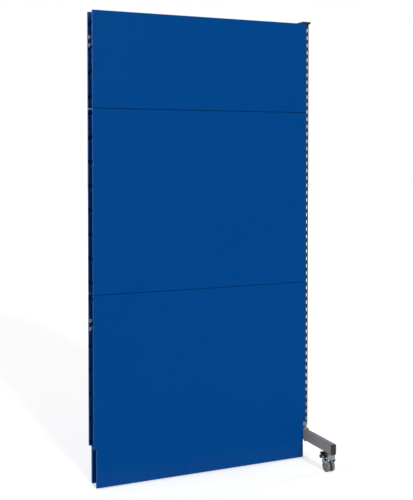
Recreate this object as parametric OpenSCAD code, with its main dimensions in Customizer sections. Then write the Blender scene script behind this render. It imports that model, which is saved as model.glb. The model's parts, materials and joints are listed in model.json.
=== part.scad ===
// Add-on bay of a double-sided rolling partition, in millimetres.
// Three sheet-steel panels hang on each side of a slotted upright that stands on a foot tube with
// two braked twin-wheel castors. The left end is open: its rail lugs and panel hooks go into the
// upright of the bay next to it.
// X runs along the bay, Y through its thickness (front is -Y) and Z up. The origin is on the floor,
// under the middle of the whole part.

/* [Bay] */
// Width of a bay, from upright centre line to upright centre line
bay_w = 1000; // [600:10:1300]
// Height of the top panels, in steps of the slot pitch
top_steps = 12; // [6:1:20]
// Height of the middle panels, in steps of the slot pitch
middle_steps = 23; // [9:1:30]
// Height of the bottom panels, in steps of the slot pitch
bottom_steps = 24; // [12:1:30]
// Height of the bottom panels' lower edge above the floor
floor_gap = 4; // [2:0.5:12]
// Gap between a panel and the next one above it
panel_gap = 1.5; // [1:0.5:6]

/* [Upright] */
// Width of the upright, along the bay
upright_w = 40; // [36:1:60]
// Depth of the upright, through the thickness
upright_d = 50; // [44:1:80]
// Sheet thickness of the upright's channels
channel_t = 1.5; // [1:0.1:2.5]
// Outer bend radius of the channels
channel_r = 2.5; // [2:0.5:3]
// Width of the lips beside each channel's open side
channel_lip = 8; // [4:0.5:10]
// Height of one slot step
slot_pitch = 33.333; // [30:0.001:40]
// Width of a slot
slot_w = 4; // [4:0.5:6]
// Length of a slot
slot_h = 16; // [15:0.5:20]
// Distance of the face slots from the upright's centre line
slot_offset = 12; // [10:0.5:13]
// Distance of the web slots from the upright's middle plane
web_slot_offset = 7; // [6.5:0.5:9]
// Drop from the panels' top edge to the first face slot's centre
first_slot_drop = 28; // [26:0.5:30]
// Drop from the panels' top edge to the first web slot's centre
first_web_slot_drop = 36; // [32:0.5:44]

/* [Panels] */
// Depth of a panel tray
tray_d = 15; // [13:0.5:25]
// Sheet thickness of the panels
sheet_t = 1.2; // [0.8:0.1:1.5]
// Bend radius of the panels' front edges
panel_r = 2.5; // [1.6:0.1:4]
// Gap from a panel's side edge to the upright's centre line
side_gap = 0.5; // [0.3:0.1:2]
// Width of the inner lip along a panel's top and bottom
end_lip = 10; // [6:1:20]
// Height of the relief cut where a side flange meets the top or bottom flange
corner_relief = 1.5; // [0.5:0.25:4]
// Slots from one panel hook to the next
hook_every = 3; // [2:1:5]
// Height of a hook's arm
hook_arm_h = 8; // [6:0.5:8]
// How far a hook's nose drops behind the slotted sheet
hook_drop = 5.5; // [4:0.5:6]
// Thickness of a hook's nose, through the thickness of the partition
hook_nose = 5; // [3:0.5:6]
// Height of the relief window above each hook
window_h = 14; // [8:1:15]
// Depth of the relief window in the side flange
window_d = 7; // [3:0.5:9]
// Clearance between a corner notch and the foot tube
notch_side_gap = 0.5; // [0.3:0.1:3]
// Height of the notch above the upright's lower end
notch_over = 6; // [4:0.5:10]

/* [Cross rails] */
// Height of a rail tube
rail_h = 50; // [46:1:60]
// Depth of a rail tube
rail_d = 20; // [19:0.5:26]
// Wall of a rail tube
rail_t = 1.5; // [1:0.1:2]
// Web slot that takes the upper rail's upper lug, counted from the top
upper_rail_slot = 2; // [1:1:8]
// Web slot that takes the lower rail's upper lug, counted from the top
lower_rail_slot = 37; // [20:1:45]
// Thickness of a hook plate
plate_t = 3; // [2:0.5:3]
// Length of a hook plate inside its tube
plate_in = 48; // [30:1:80]
// Height of a lug's arm
lug_arm_h = 9; // [7:0.5:9]
// How far a lug's nose drops behind the webs
lug_drop = 6; // [4:0.5:6.5]
// Reach of the lugs past the upright's centre line
lug_reach = 8; // [6:0.5:9]
// Diameter of a plate rivet
rivet_d = 6; // [4:0.5:8]

/* [Top cap] */
// Width of the cap, along the bay
cap_w = 42; // [42:0.5:70]
// Height of the cap above the panels
cap_h = 9; // [6:0.5:15]
// Wall of the cap and of its plugs
cap_t = 2.5; // [2:0.5:4]
// Depth of the plugs in the channels
plug_in = 14; // [8:1:20]

/* [Foot] */
// Length of the foot tube with its end plugs
foot_l = 560; // [440:10:700]
// Width of the foot tube
foot_w = 25; // [25:1:40]
// Height of the foot tube
foot_h = 45; // [30:1:60]
// Wall of the foot tube
foot_t = 2; // [1.5:0.1:3]
// Outer corner radius of the foot tube
foot_r = 2.5; // [2:0.5:3]
// Thickness of an end plug's flange
end_plug_t = 2.5; // [1.5:0.5:4]
// Length of the base plate on the foot tube
base_l = 100; // [90:1:140]
// Thickness of the base plate
base_t = 6; // [4:0.5:10]
// Height of the block on the base plate
block_h = 10; // [6:0.5:30]
// Height of the collar that the upright stands on
collar_h = 14; // [8:0.5:30]
// Length of the tongues inside the upright
tongue_l = 145; // [130:5:200]
// Depth of a tongue, through the thickness
tongue_d = 35; // [28:1:35]
// Wall of a tongue
tongue_t = 2.5; // [2:0.5:3]
// Distance of the foot bolts from the middle plane
foot_bolt_y = 36; // [36:0.5:42]
// Diameter of the foot bolts and post bolts
bolt_d = 8; // [6:0.5:8]

/* [Castors] */
// Distance of the swivel axes from the middle plane
castor_y = 260; // [190:5:320]
// Height of a castor, from the floor to the foot tube
castor_h = 84; // [84:0.5:110]
// Wheel diameter
wheel_d = 50; // [46:0.5:51]
// Width of one wheel
wheel_w = 14; // [12:0.5:14]
// Gap between the two wheels
wheel_gap = 9; // [8.5:0.5:9.5]
// Distance that the wheels trail behind the swivel axis
trail = 20; // [19:0.5:22]
// Radius of the rubber's inner face
tyre_in_r = 18; // [16:0.5:19]
// Wheel axle diameter
axle_d = 6; // [5:0.5:7]
// Swivel stem diameter
stem_d = 10; // [8:0.5:10]
// Wall of the pressed housing
housing_t = 1.7; // [1.4:0.1:1.8]
// Pedal pin diameter
pin_d = 5; // [4:0.5:6]
// Angle that the pedal turns to brake
brake_angle = 12; // [8:1:12]

/* [Clearances] */
// Gap of a piece that rests in its seat
seat_gap = 0.3; // [0.1:0.05:0.4]
// Radial clearance of a shaft that turns
run_gap = 0.05; // [0.03:0.01:0.1]

/* [Hidden] */
$fn = 64;
eps = 0.01;

front = -1;
rear = 1;
left = -1;
right = 1;

// Colours of the finishes
panel_blue = [0.0, 0.27, 0.53];
coat_grey = [0.42, 0.42, 0.44];
zinc = [0.78, 0.79, 0.80];
dark_plastic = [0.17, 0.17, 0.18];
wheel_grey = [0.50, 0.50, 0.50];
tyre_grey = [0.38, 0.38, 0.38];

// Heights of the stack from the floor up
foot_top = castor_h + foot_h;
base_top = foot_top + base_t;
block_top = base_top + block_h;
upright_bottom = block_top + collar_h;
total_steps = top_steps + middle_steps + bottom_steps;
panel_top = floor_gap + total_steps * slot_pitch - panel_gap;
notch_top = upright_bottom + notch_over;

// The part's left end is at the lugs and its right end at the cap
x_post = (bay_w + lug_reach - cap_w / 2) / 2;
x_mid = x_post - bay_w / 2;
face_y = upright_d / 2 + tray_d;

// Slot rows in the upright
slot_end_margin = 12;
slot_count = floor((panel_top - first_slot_drop - slot_end_margin - upright_bottom) / slot_pitch) + 1;
web_count = floor((panel_top - first_web_slot_drop - slot_end_margin - upright_bottom) / slot_pitch) + 1;
function slot_z(n) = panel_top - first_slot_drop - n * slot_pitch;
function web_slot_z(n) = panel_top - first_web_slot_drop - n * slot_pitch;

// Depth below a slot's centre at which a flat hook of thickness t rests on the round slot end
function hook_seat(t) = slot_h / 2 - slot_w / 2 + sqrt(pow(slot_w / 2, 2) - pow(t / 2, 2)) - seat_gap;

// Hooks of the panels: the first one of a panel and the last one that its height leaves room for
top_first_hook = 1;
hook_end_room = 2;

// Fixings of the tongues, above the upright's lower end
post_bolt_rise = [50, 110];
post_head_h = 3.8;
post_nut_h = 3.8;
bolt_hole_gap = 0.25;
hex_ratio = 1.155;
head_af = 13;
head_h = 5.3;
nut_h = 6.5;
thread_out = 5;
stem_nut_af = 16;
stem_nut_h = 8;
stem_out = 3;

// Castor sizes, in the castor's own frame: the swivel axis is at its origin and the wheels trail to +Y
axle_z = wheel_d / 2;
wheel_x = (wheel_gap + wheel_w) / 2;
wheels_half = wheel_gap / 2 + wheel_w;
skirt_in = wheels_half + 0.8;
skirt_out = skirt_in + housing_t;
housing_top = 62;
skirt_bottom = 38;
head_r = 20;
head_edge_r = 5;
guard_r = 30;
guard_edge_r = 4;
web_half = 3.5;
cup_r = 17;
cup_wall = 3;
flange_r = 16;
flange_h = 4;
ball_r = 2.5;
ball_ring_r = 10;
ball_count = 12;
stem_head_r = 8;
stem_head_h = 3;
flange_z = castor_h - flange_h;
cup_floor = flange_z - 2 * ball_r - 2 * seat_gap;
pin_y = 33;
pin_z = 62;
pedal_half = skirt_in - 0.4;
tread_half = 16;
shoe_r = wheel_d / 2 + 3;
shoe_in = 6;
shoe_out = 16.5;

// Basic shapes

// Rectangle with round corners, centred
module round_rect(w, h, r) {
    square([w - 2 * r, h], center = true);
    square([w, h - 2 * r], center = true);
    for (sx = [-1, 1])
        for (sy = [-1, 1])
            translate([sx * (w / 2 - r), sy * (h / 2 - r)])
                circle(r);
}

// Upright slot through a sheet that lies across Y, as deep as given
module slot(depth) {
    cube([slot_w, depth, slot_h - slot_w], center = true);
    for (s = [-1, 1])
        translate([0, 0, s * (slot_h - slot_w) / 2])
            rotate([90, 0, 0])
                cylinder(d = slot_w, h = depth, center = true);
}

// Outline in the Y-Z plane, drawn as x = Y and y = Z, made w thick along X and centred
module along_x(w) {
    rotate([90, 0, 90])
        linear_extrude(w, center = true)
            children();
}

// Hexagonal nut or head with its axis along Z
module hexagon(af, h) {
    cylinder(d = af * hex_ratio, h = h, $fn = 6);
}

module at_post() {
    translate([x_post, 0, 0])
        children();
}

module at_bay_middle() {
    translate([x_mid, 0, 0])
        children();
}

// Upright

// One lipped channel on the +X side of the centre line
module channel() {
    depth = upright_w / 2;
    height = panel_top - upright_bottom;
    inner_r = channel_r - channel_t;
    difference() {
        translate([0, 0, upright_bottom])
            linear_extrude(height)
                difference() {
                    translate([depth / 2, 0])
                        round_rect(depth, upright_d, channel_r);
                    translate([depth / 2, 0])
                        round_rect(depth - 2 * channel_t, upright_d - 2 * channel_t, inner_r);
                    translate([depth, 0])
                        square([depth, upright_d - 2 * channel_t - 2 * channel_lip], center = true);
                }
        for (n = [0 : slot_count - 1])
            translate([slot_offset, 0, slot_z(n)])
                slot(upright_d + 2);
        for (n = [0 : web_count - 1])
            for (s = [-1, 1])
                translate([0, s * web_slot_offset, web_slot_z(n)])
                    rotate([0, 0, 90])
                        slot(4 * channel_t);
        for (rise = post_bolt_rise)
            translate([0, 0, upright_bottom + rise])
                rotate([0, 90, 0])
                    cylinder(d = bolt_d + 2 * bolt_hole_gap, h = 4 * channel_t, center = true);
    }
}

module upright_inner_channel() {
    color(coat_grey)
        at_post()
            mirror([1, 0, 0])
                channel();
}

module upright_outer_channel() {
    color(coat_grey)
        at_post()
            channel();
}

// Cap that lies on the upright's end and on the panels' corners, with a plug for each channel
module upright_top_cap() {
    cap_d = 2 * face_y;
    plug_w = upright_w / 2 - 2 * channel_t - 2 * seat_gap;
    plug_d = upright_d - 2 * channel_t - 2 * seat_gap;
    cap_r = 3;
    edge_r = 2;
    color(dark_plastic)
        at_post() {
            translate([0, 0, panel_top + seat_gap])
                difference() {
                    intersection() {
                        linear_extrude(cap_h)
                            round_rect(cap_w, cap_d, cap_r);
                        along_x(cap_w + 2)
                            round_rect(cap_d, 2 * cap_h, edge_r);
                        rotate([90, 0, 0])
                            linear_extrude(cap_d + 2, center = true)
                                round_rect(cap_w, 2 * cap_h, edge_r);
                    }
                    for (s = [-1, 1])
                        translate([-(cap_w / 2 - cap_t), s > 0 ? upright_d / 2 + cap_t : -face_y + cap_t, -1])
                            cube([cap_w - 2 * cap_t, tray_d - 2 * cap_t, cap_h - cap_t + 1]);
                }
            for (s = [-1, 1])
                translate([s * upright_w / 4, 0, panel_top - plug_in])
                    linear_extrude(plug_in + 2 * seat_gap)
                        difference() {
                            square([plug_w, plug_d], center = true);
                            square([plug_w - 2 * cap_t, plug_d - 2 * cap_t], center = true);
                        }
        }
}

// Cross rails

module rail(top_slot) {
    reach = upright_w / 2 + 2;
    color(coat_grey)
        translate([x_mid, 0, (web_slot_z(top_slot) + web_slot_z(top_slot + 1)) / 2])
            difference() {
                along_x(bay_w - 2 * reach)
                    difference() {
                        round_rect(rail_d, rail_h, 2 * rail_t);
                        round_rect(rail_d - 2 * rail_t, rail_h - 2 * rail_t, rail_t);
                    }
                for (side = [left, right])
                    rail_rivet_places(side)
                        rotate([-90, 0, 0])
                            cylinder(d = rivet_d + 2 * run_gap, h = rail_d / 2 + 1);
            }
}

// The two rivets of a hook plate, with the origin on the tube's outer wall plane at the plate's side
module rail_rivet_places(side) {
    for (k = [1, 3])
        translate([side * (bay_w / 2 - upright_w / 2 - 2 - k * plate_in / 4), 0, 0])
            scale([1, side, 1])
                children();
}

// Plate with two lugs at one end of a rail. It lies against the tube's inner wall on its side.
module rail_hook(top_slot, side) {
    upper = web_slot_z(top_slot);
    lower = web_slot_z(top_slot + 1);
    seat = hook_seat(plate_t);
    plate_h = rail_h - 4 * rail_t - 2 * seat_gap;
    shoulder = upright_w / 2 + 1;
    nose_in = channel_t + seat_gap;
    color(coat_grey)
        at_bay_middle()
            scale([side, side, 1])
                translate([bay_w / 2, rail_d / 2 - rail_t - plate_t - run_gap, 0])
                    difference() {
                        translate([0, plate_t, 0])
                            rotate([90, 0, 0])
                                linear_extrude(plate_t) {
                                    translate([-shoulder - plate_in, (upper + lower - plate_h) / 2])
                                        square([plate_in, plate_h]);
                                    for (z = [upper, lower])
                                        translate([0, z - seat]) {
                                            translate([-shoulder - 1, 0])
                                                square([shoulder + 1 + lug_reach, lug_arm_h]);
                                            translate([nose_in, -lug_drop])
                                                square([lug_reach - nose_in, lug_arm_h + lug_drop]);
                                        }
                                }
                        for (k = [1, 3])
                            translate([-upright_w / 2 - 2 - k * plate_in / 4, -1, (upper + lower) / 2])
                                rotate([-90, 0, 0])
                                    cylinder(d = rivet_d + 2 * run_gap, h = plate_t + 2);
                    }
}

module rail_rivets() {
    head_t = 2;
    color(zinc)
        for (top_slot = [upper_rail_slot, lower_rail_slot])
            translate([x_mid, 0, (web_slot_z(top_slot) + web_slot_z(top_slot + 1)) / 2])
                for (side = [left, right])
                    rail_rivet_places(side)
                        translate([0, rail_d / 2 - rail_t - plate_t - 1, 0])
                            rotate([-90, 0, 0]) {
                                cylinder(d = rivet_d, h = rail_t + plate_t + 1 + head_t / 2);
                                translate([0, 0, rail_t + plate_t + 1 + run_gap])
                                    cylinder(d1 = 1.8 * rivet_d, d2 = 1.2 * rivet_d, h = head_t);
                            }
}

// Panels

// Rounded block of a tray, grown inwards by t. The front face is at -Y. The top and bottom edges
// are bent a little tighter than the side edges.
module tray_block(w, z_low, z_high, t, y_back) {
    r = panel_r - t;
    end_r = 0.8 * r;
    h = z_high - z_low;
    d = 2 * (face_y - t);
    intersection() {
        translate([0, 0, z_low - 1])
            linear_extrude(h + 2)
                round_rect(w - 2 * t, d, r);
        translate([0, 0, (z_low + z_high) / 2])
            along_x(w + 2)
                round_rect(d, h - 2 * t, end_r);
        translate([-w / 2 - 2, -face_y - 1, z_low - 2])
            cube([w + 4, face_y + 1 + y_back, h + 4]);
    }
}

// Space that the corner notches take from a tray, grown by t
module notch_space(w, t) {
    width = foot_w / 2 + notch_side_gap - side_gap + t;
    for (side = [left, right])
        translate([side * w / 2, 0, 0])
            translate([side > 0 ? -width : -1, -face_y - 1, -1])
                cube([width + 1, 2 * face_y, notch_top + t + 1]);
}

// One hook on a tray's +X edge, at slot height z. Its sheet stands across X.
module tray_hook(w, z) {
    arm_low = z - hook_seat(sheet_t);
    back = upright_d / 2;
    nose_in = back - channel_t - seat_gap;
    translate([bay_w / 2 - slot_offset, 0, 0])
        along_x(sheet_t) {
            translate([-back - sheet_t / 2, arm_low])
                square([back + sheet_t / 2 - nose_in + hook_nose, hook_arm_h]);
            translate([-nose_in, arm_low - hook_drop])
                square([hook_nose, hook_arm_h + hook_drop]);
        }
}

// Relief window above a hook, through the rear corner of the side flange
module hook_window(w, z) {
    window_low = z - hook_seat(sheet_t) + hook_arm_h + 3;
    translate([bay_w / 2 - slot_offset + sheet_t / 2, -upright_d / 2 - window_d, window_low])
        cube([slot_offset, window_d + 1, window_h]);
}

// Relief at a corner of the tray, where the side flange stops short of the top or bottom flange
module corner_cut(w, z) {
    translate([w / 2 - sheet_t, -face_y + panel_r, z - corner_relief])
        cube([sheet_t + 1, tray_d, 2 * corner_relief]);
}

// One panel: a folded tray with inner lips, and hooks on both side edges
module panel(first_step, steps, hook_start, notched) {
    w = bay_w - 2 * side_gap;
    z_high = panel_top - first_step * slot_pitch;
    z_low = z_high - steps * slot_pitch + panel_gap;
    side_lip = slot_offset - side_gap + sheet_t / 2;
    back = -upright_d / 2;
    lowest = notched ? notch_top : z_low;
    hooks = [for (k = [hook_start : hook_every : steps]) if (slot_z(first_step + k) - hook_arm_h > lowest - 1) k];
    color(panel_blue)
        at_bay_middle() {
            difference() {
                tray_block(w, z_low, z_high, 0, back);
                difference() {
                    tray_block(w, z_low, z_high, sheet_t, back - sheet_t);
                    if (notched)
                        notch_space(w, sheet_t);
                }
                difference() {
                    translate([-w / 2 + side_lip, back - 2 * sheet_t, z_low + end_lip])
                        cube([w - 2 * side_lip, 4 * sheet_t, z_high - z_low - 2 * end_lip]);
                    if (notched)
                        notch_space(w, end_lip);
                }
                if (notched)
                    notch_space(w, 0);
                for (side = [left, right])
                    scale([side, 1, 1]) {
                        for (k = hooks)
                            hook_window(w, slot_z(first_step + k));
                        for (z = notched ? [z_high] : [z_low, z_high])
                            corner_cut(w, z);
                    }
            }
            for (side = [left, right])
                scale([side, 1, 1])
                    for (k = hooks)
                        tray_hook(w, slot_z(first_step + k));
        }
}

module top_panel() {
    panel(0, top_steps, top_first_hook, false);
}

module middle_panel() {
    panel(top_steps, middle_steps, 0, false);
}

module bottom_panel() {
    panel(top_steps + middle_steps, bottom_steps, 0, true);
}

module on_rear() {
    mirror([0, 1, 0])
        children();
}

// Foot

module foot_tube() {
    tube_l = foot_l - 2 * end_plug_t;
    color(coat_grey)
        at_post()
            difference() {
                translate([0, 0, castor_h + foot_h / 2])
                    rotate([90, 0, 0])
                        linear_extrude(tube_l, center = true)
                            difference() {
                                round_rect(foot_w, foot_h, foot_r);
                                round_rect(foot_w - 2 * foot_t, foot_h - 2 * foot_t, foot_r / 2);
                            }
                for (s = [-1, 1]) {
                    translate([0, s * foot_bolt_y, castor_h - 1])
                        cylinder(d = bolt_d + 2 * bolt_hole_gap, h = foot_h + 2);
                    translate([0, s * castor_y, castor_h - 1])
                        cylinder(d = stem_d + 2 * bolt_hole_gap, h = foot_h / 2);
                }
            }
}

module tongue_shape(grow) {
    inner = channel_t + seat_gap;
    outer = upright_w / 2 - 4.2;
    translate([(inner + outer) / 2, 0])
        square([outer - inner + 2 * grow, tongue_d + 2 * grow], center = true);
}

// Welded base: a plate on the foot tube, a block under the collar and a hollow tongue for each channel
module foot_post() {
    block_w = upright_w - 5;
    block_d = upright_d - 4;
    color(coat_grey)
        at_post()
            difference() {
                union() {
                    translate([0, 0, foot_top])
                        linear_extrude(base_t)
                            round_rect(foot_w, base_l, 2);
                    translate([0, 0, base_top - eps])
                        linear_extrude(block_h + eps)
                            round_rect(block_w, block_d, 2);
                    for (s = [-1, 1])
                        scale([s, 1, 1])
                            translate([0, 0, block_top - 1])
                                linear_extrude(collar_h + tongue_l + 1)
                                    tongue_shape(0);
                }
                for (s = [-1, 1])
                    scale([s, 1, 1])
                        translate([0, 0, block_top])
                            linear_extrude(collar_h + tongue_l + 1)
                                tongue_shape(-tongue_t);
                for (s = [-1, 1])
                    translate([0, s * foot_bolt_y, foot_top - 1])
                        cylinder(d = bolt_d + 2 * bolt_hole_gap, h = base_t + 2);
                for (rise = post_bolt_rise)
                    translate([0, 0, upright_bottom + rise])
                        rotate([0, 90, 0])
                            cylinder(d = bolt_d + 2 * bolt_hole_gap, h = upright_w, center = true);
            }
}

// Zinc-plated ring round the tongues, between the block and the upright
module foot_collar() {
    color(zinc)
        at_post()
            translate([0, 0, block_top])
                linear_extrude(collar_h)
                    difference() {
                        round_rect(upright_w, upright_d, channel_r);
                        for (s = [-1, 1])
                            scale([s, 1])
                                tongue_shape(seat_gap / 2);
                    }
}

module foot_bolts() {
    color(zinc)
        at_post()
            for (s = [-1, 1])
                translate([0, s * foot_bolt_y, 0]) {
                    translate([0, 0, castor_h - nut_h - thread_out])
                        cylinder(d = bolt_d, h = foot_h + base_t + nut_h + thread_out + 1);
                    translate([0, 0, base_top])
                        hexagon(head_af, head_h);
                }
}

module foot_nuts() {
    color(zinc)
        at_post()
            for (s = [-1, 1])
                translate([0, s * foot_bolt_y, castor_h - nut_h])
                    difference() {
                        hexagon(head_af, nut_h);
                        translate([0, 0, -1])
                            cylinder(d = bolt_d + 2 * run_gap, h = nut_h + 2);
                    }
}

module post_bolts() {
    half = upright_w / 2 - 4.2;
    color(zinc)
        at_post()
            for (rise = post_bolt_rise)
                translate([0, 0, upright_bottom + rise])
                    rotate([0, 90, 0]) {
                        translate([0, 0, -half - post_nut_h])
                            cylinder(d = bolt_d, h = 2 * half + post_nut_h + 1);
                        translate([0, 0, half])
                            hexagon(head_af, post_head_h);
                    }
}

module post_nuts() {
    half = upright_w / 2 - 4.2;
    color(zinc)
        at_post()
            for (rise = post_bolt_rise)
                translate([0, 0, upright_bottom + rise])
                    rotate([0, -90, 0])
                        translate([0, 0, half])
                            difference() {
                                hexagon(head_af, post_nut_h);
                                translate([0, 0, -1])
                                    cylinder(d = bolt_d + 2 * run_gap, h = post_nut_h + 2);
                            }
}

// Plastic plug in one end of the foot tube
module end_plug(side) {
    insert_l = 7;
    insert_w = foot_w - 2 * foot_t - 2 * seat_gap;
    insert_h = foot_h - 2 * foot_t - 2 * seat_gap;
    frame_t = 3;
    recess = 1.2;
    color(dark_plastic)
        at_post()
            translate([0, 0, castor_h + foot_h / 2])
                rotate([side > 0 ? -90 : 90, 0, 0])
                    difference() {
                        union() {
                            translate([0, 0, foot_l / 2 - end_plug_t])
                                linear_extrude(end_plug_t)
                                    round_rect(foot_w, foot_h, foot_r);
                            translate([0, 0, foot_l / 2 - end_plug_t - insert_l])
                                linear_extrude(insert_l + eps)
                                    difference() {
                                        round_rect(insert_w, insert_h, 1.5);
                                        square([insert_w - 4, insert_h - 4], center = true);
                                    }
                        }
                        translate([0, 0, foot_l / 2 - recess])
                            linear_extrude(recess + 1)
                                round_rect(foot_w - 2 * frame_t, foot_h - 2 * frame_t, 1.5);
                    }
}

// Castors

module at_castor(side) {
    translate([x_post, side * castor_y, 0])
        rotate([0, 0, side > 0 ? 180 : 0])
            children();
}

module castor_nuts() {
    color(zinc)
        for (side = [front, rear])
            at_castor(side)
                translate([0, 0, castor_h + foot_t])
                    difference() {
                        hexagon(stem_nut_af, stem_nut_h);
                        translate([0, 0, -1])
                            cylinder(d = stem_d + 2 * run_gap, h = stem_nut_h + 2);
                    }
}

// Stem with the upper race's flange under the foot tube and a riveted head inside the housing
module castor_stem(side) {
    low = housing_top - housing_t - seat_gap - stem_head_h;
    top = castor_h + foot_t + stem_nut_h + stem_out;
    color(zinc)
        at_castor(side) {
            translate([0, 0, low])
                cylinder(d = stem_d, h = top - low);
            translate([0, 0, low])
                cylinder(r = stem_head_r, h = stem_head_h);
            translate([0, 0, flange_z])
                cylinder(r = flange_r, h = flange_h);
        }
}

// Ring of balls in a cage
module swivel_bearing(side) {
    cage_t = 1.2;
    cage_half = 1.5;
    color(zinc)
        at_castor(side)
            translate([0, 0, cup_floor + seat_gap + ball_r]) {
                rotate_extrude()
                    translate([ball_ring_r, 0])
                        square([2 * cage_half, cage_t], center = true);
                for (k = [0 : ball_count - 1])
                    rotate([0, 0, k * 360 / ball_count])
                        translate([ball_ring_r, 0, 0])
                            sphere(ball_r, $fn = 32);
            }
}

// Solid of revolution for the housing's head or guard: a round block with round edges, r in radius and
// half in height, grown inwards by t
module housing_drum(r, half, edge_r, t) {
    rotate_extrude()
        intersection() {
            round_rect(2 * (r - t), 2 * (half - t), edge_r - t);
            translate([0, -half])
                square([r, 2 * half]);
        }
}

// Outer skin of the pressed housing, grown inwards by t: a round head and a guard round the wheels
module housing_skin(t) {
    head_half = 45;
    translate([0, 0, housing_top - head_half])
        housing_drum(head_r, head_half, head_edge_r, t);
    translate([0, trail, axle_z])
        rotate([0, 90, 0])
            housing_drum(guard_r, skirt_out, guard_edge_r, t);
}

// Pressed sheet of the housing, open along its slanted rim
module housing_shell() {
    rim = [[-40, skirt_bottom + 50], [10, skirt_bottom], [70, skirt_bottom], [70, 100], [-40, 100]];
    difference() {
        intersection() {
            housing_skin(0);
            along_x(4 * skirt_out)
                polygon(rim);
        }
        housing_skin(housing_t);
    }
}

// Web between the wheels, from the housing's top and guard down to the axle
module housing_web() {
    boss_r = 8;
    web_r = guard_r - housing_t / 2;
    guard_side = [for (a = [45, 60, 75, 90]) [trail + web_r * cos(a), axle_z + web_r * sin(a)]];
    head_side = [[head_r - head_edge_r, housing_top - 1], [-11, housing_top - 1]];
    along_x(2 * web_half) {
        polygon(concat([[12.5, 22], [27.5, 22]], guard_side, head_side));
        translate([trail, axle_z])
            circle(boss_r);
    }
}

// Ears that carry the pedal pin, flat with the guard's sides
module housing_ears() {
    ear_r = 6;
    root_r = guard_r - guard_edge_r;
    root_side = [for (a = [40, 85]) [trail + root_r * cos(a), axle_z + root_r * sin(a)]];
    for (side = [left, right])
        translate([side * (skirt_in + skirt_out) / 2, 0, 0])
            along_x(housing_t) {
                translate([pin_y, pin_z])
                    circle(ear_r);
                polygon(concat([[pin_y - ear_r, pin_z], [pin_y + ear_r, pin_z]], root_side));
            }
}

module castor_housing(side) {
    pocket_r = stem_head_r + 1;
    color(zinc)
        at_castor(side)
            difference() {
                union() {
                    housing_shell();
                    housing_web();
                    housing_ears();
                    translate([0, 0, housing_top - housing_t])
                        cylinder(r = cup_r, h = flange_z - 0.8 - housing_top + housing_t);
                }
                translate([0, 0, cup_floor])
                    cylinder(r = cup_r - cup_wall, h = flange_h * 3);
                translate([0, 0, housing_top - housing_t - 1])
                    cylinder(d = stem_d + 2 * run_gap, h = 30);
                translate([0, 0, housing_top - housing_t - stem_head_h - 2])
                    cylinder(r = pocket_r, h = stem_head_h + 2);
                translate([0, trail, axle_z])
                    rotate([0, 90, 0])
                        cylinder(d = axle_d + 2 * run_gap, h = 4 * web_half, center = true);
                translate([0, pin_y, pin_z])
                    rotate([0, 90, 0])
                        cylinder(d = pin_d + 2 * run_gap, h = 3 * skirt_out, center = true);
                for (s = [-1, 1])
                    scale([s, 1, 1])
                        translate([shoe_in - 1, trail + 8, axle_z + 12])
                            cube([shoe_out - shoe_in + 2, 15, 20]);
            }
}

module wheel_axle(side) {
    head_r = 5;
    head_t = 1.2;
    color(zinc)
        at_castor(side)
            translate([0, trail, axle_z])
                rotate([0, 90, 0]) {
                    cylinder(d = axle_d, h = 2 * wheels_half, center = true);
                    for (s = [-1, 1])
                        translate([0, 0, s * (wheels_half + seat_gap + head_t / 2)])
                            cylinder(r = head_r, h = head_t, center = true);
                    cylinder(d = axle_d, h = 2 * (wheels_half + seat_gap), center = true);
                }
}

// Places one wheel of a castor by the part's own left or right
module at_wheel(side, hand) {
    at_castor(side)
        translate([(side > 0 ? -hand : hand) * wheel_x, trail, axle_z])
            rotate([0, 90, 0])
                children();
}

// Hub with a dished face and five ribs on each side
module wheel_hub(side, hand) {
    rim_in = tyre_in_r - 2.5;
    boss_r = 7;
    web_t = 5;
    rib_t = 2.2;
    rib_count = 5;
    rim_w = wheel_w - 1;
    color(wheel_grey)
        at_wheel(side, hand)
            difference() {
                union() {
                    cylinder(r = boss_r, h = wheel_w, center = true);
                    cylinder(r = tyre_in_r - 1, h = web_t, center = true);
                    difference() {
                        cylinder(r = tyre_in_r, h = rim_w, center = true);
                        cylinder(r = rim_in, h = rim_w + 2, center = true);
                    }
                    for (k = [0 : rib_count - 1])
                        rotate([0, 0, k * 360 / rib_count])
                            translate([(boss_r + rim_in) / 2, 0, 0])
                                cube([rim_in - boss_r + 2, rib_t, rim_w - 2], center = true);
                }
                cylinder(d = axle_d + 2 * run_gap, h = wheel_w + 2, center = true);
            }
}

module wheel_tyre(side, hand) {
    tread_r = 3.5;
    inner = tyre_in_r + run_gap;
    color(tyre_grey)
        at_wheel(side, hand)
            rotate_extrude()
                intersection() {
                    round_rect(wheel_d, wheel_w, tread_r);
                    translate([inner, -wheel_w])
                        square([wheel_d, 2 * wheel_w]);
                }
}

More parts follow.
